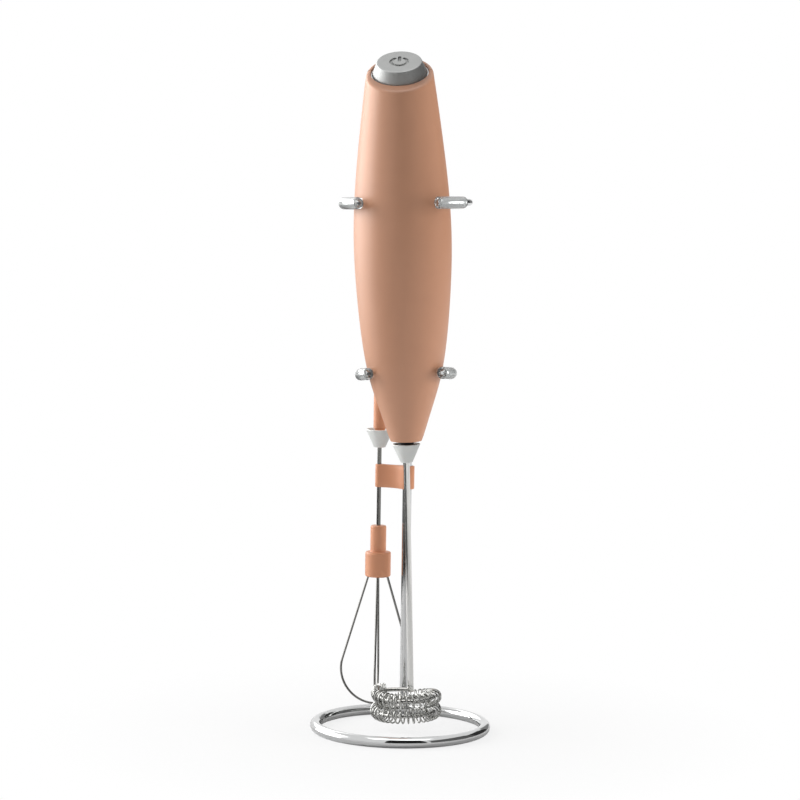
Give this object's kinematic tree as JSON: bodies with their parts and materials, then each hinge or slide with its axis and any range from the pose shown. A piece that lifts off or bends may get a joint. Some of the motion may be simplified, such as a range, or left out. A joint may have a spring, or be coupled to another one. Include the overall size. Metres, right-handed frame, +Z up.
{
  "type": "milk frother",
  "caption": "Battery milk frother with a slanted push button and a coil whisk, standing in an open wire stand with a spare loop whisk clipped to the post.",
  "frame": {"origin": "middle of the base ring, on the table that the stand rests on", "axes": "+Z up, +Y towards the stand's post at the back, +X to the right seen from the front"},
  "size_m": [0.0626, 0.0765, 0.2352],
  "materials": {
    "chrome": "polished plate on bent steel rod",
    "clear_sleeve": "clear soft plastic tube",
    "soft_peach": "soft-touch paint on moulded plastic",
    "peach_plastic": "moulded plastic, satin",
    "satin_silver": "fine blasted metallic",
    "polished_steel": "bright drawn wire",
    "bright_trim": "thin bright ring",
    "black_plastic": "moulded plastic",
    "white_plastic": "moulded plastic",
    "cell_wrap": "plain shrink sleeve on a steel can",
    "spring_steel": "bright nickel plate",
    "motor_steel": "zinc plated sheet",
    "bronze": "sintered bronze",
    "copper": "enamelled copper wire",
    "ferrite": "pressed ferrite",
    "lead_sleeve": "insulated lead"
  },
  "bodies": {
    "stand": {"base_ring": "chrome", "post": "chrome", "upper_cradle": "chrome", "lower_cradle": "chrome", "upper_sleeves": "clear_sleeve", "lower_sleeves": "clear_sleeve"},
    "handle": {"handle_shell": "soft_peach", "button_bezel": "bright_trim", "chassis": "white_plastic", "chassis_screws": "spring_steel", "switch_body": "black_plastic", "leads": "lead_sleeve", "cell_left": "cell_wrap", "cell_right": "cell_wrap", "bridge_contact": "spring_steel", "upper_contacts": "spring_steel", "contact_springs": "spring_steel", "motor_mount": "white_plastic", "motor_can": "motor_steel", "motor_endcap": "white_plastic", "motor_bushes": "bronze", "motor_magnets": "ferrite", "motor_brushes": "copper", "nose_bush": "black_plastic"},
    "battery_cover": {"battery_cover": "soft_peach"},
    "button": {"power_button": "satin_silver", "switch_plunger": "white_plastic", "button_spring": "spring_steel"},
    "rotor": {"rotor_core": "motor_steel", "rotor_windings": "copper", "commutator": "copper", "motor_shaft": "polished_steel", "drive_coupling": "black_plastic"},
    "froth_whisk": {"froth_stem": "peach_plastic", "froth_cone": "satin_silver", "froth_shaft": "polished_steel", "whisk_core": "polished_steel", "whisk_coil_upper": "polished_steel", "whisk_coil_lower": "polished_steel"},
    "whisk_clip": {"whisk_clip": "peach_plastic"},
    "egg_whisk": {"egg_stem": "peach_plastic", "egg_cone": "satin_silver", "egg_shaft": "polished_steel", "egg_collar": "peach_plastic", "egg_loop_outer": "polished_steel", "egg_loop_inner": "polished_steel"}
  },
  "joints": [
    {"name": "frother_lift", "type": "slide", "parent": "stand", "child": "handle", "axis": [-0.014, 0, 0.9999], "range_m": [0, 0.19]},
    {"name": "cover_slide", "type": "slide", "parent": "handle", "child": "battery_cover", "axis": [-0.0323, 0, 0.9995], "range_m": [0, 0.1]},
    {"name": "button_press", "type": "slide", "parent": "handle", "child": "button", "axis": [0.0446, 0.4537, -0.89], "range_m": [0, 0.0015], "stiffness_N_per_m": 800, "springref_m": -0.0005, "deforming": ["button_spring"]},
    {"name": "drive_spin", "type": "hinge", "parent": "handle", "child": "rotor", "pos_m": [0.00014, 0.00525, 0.11001], "axis": [-0.0323, 0, 0.9995], "continuous": true},
    {"name": "head_pull", "type": "slide", "parent": "rotor", "child": "froth_whisk", "axis": [0.0323, 0, -0.9995], "range_m": [0, 0.0165]},
    {"name": "clip_swing", "type": "hinge", "parent": "stand", "child": "whisk_clip", "pos_m": [0, 0.0294, 0.0851], "axis": [0, 0, -1], "range_deg": [0, 120]},
    {"name": "egg_slide", "type": "slide", "parent": "whisk_clip", "child": "egg_whisk", "axis": [0, 0, 1], "range_m": [0, 0.0115]}
  ]
}
